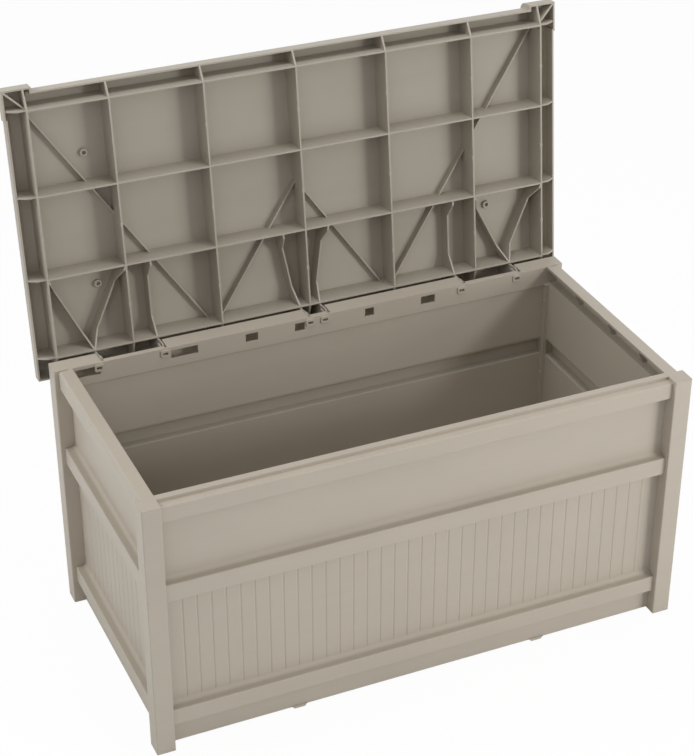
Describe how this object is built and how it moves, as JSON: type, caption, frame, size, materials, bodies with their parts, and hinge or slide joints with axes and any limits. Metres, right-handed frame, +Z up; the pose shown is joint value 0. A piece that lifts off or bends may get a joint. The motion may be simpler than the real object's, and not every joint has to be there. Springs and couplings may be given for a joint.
{
  "type": "dock box",
  "caption": "Long resin deck and dock storage box with beadboard panels, corner posts and a ribbed lid that hinges open on moulded arms.",
  "frame": {"origin": "On the ground under the middle of the box, at the centre of the footprint of its four posts", "axes": "+X along the box to the right seen from its front, +Y towards the hinge side, +Z up"},
  "size_m": [1.2804, 0.7628, 1.2084],
  "materials": {
    "resin": "satin moulded resin in light taupe",
    "pin": "moulded nylon",
    "screw": "zinc plated"
  },
  "bodies": {
    "box": {"floor_panel": "resin", "front_panel": "resin", "back_panel": "resin", "left_end_panel": "resin", "right_end_panel": "resin", "hinge_pin_1": "pin", "hinge_pin_2": "pin", "hinge_pin_3": "pin", "hinge_pin_4": "pin", "hinge_pin_5": "pin", "hinge_pin_6": "pin", "front_left_corner_screws": "screw", "front_right_corner_screws": "screw", "back_left_corner_screws": "screw", "back_right_corner_screws": "screw", "floor_front_screws": "screw", "floor_back_screws": "screw", "floor_left_screws": "screw", "floor_right_screws": "screw"},
    "lid": {"lid": "resin"}
  },
  "joints": [
    {"name": "lid_hinge", "type": "hinge", "parent": "box", "child": "lid", "pos_m": [0, 0.2958, 0.5938], "axis": [1, 0, 0], "range_deg": [0, 96.67]}
  ]
}
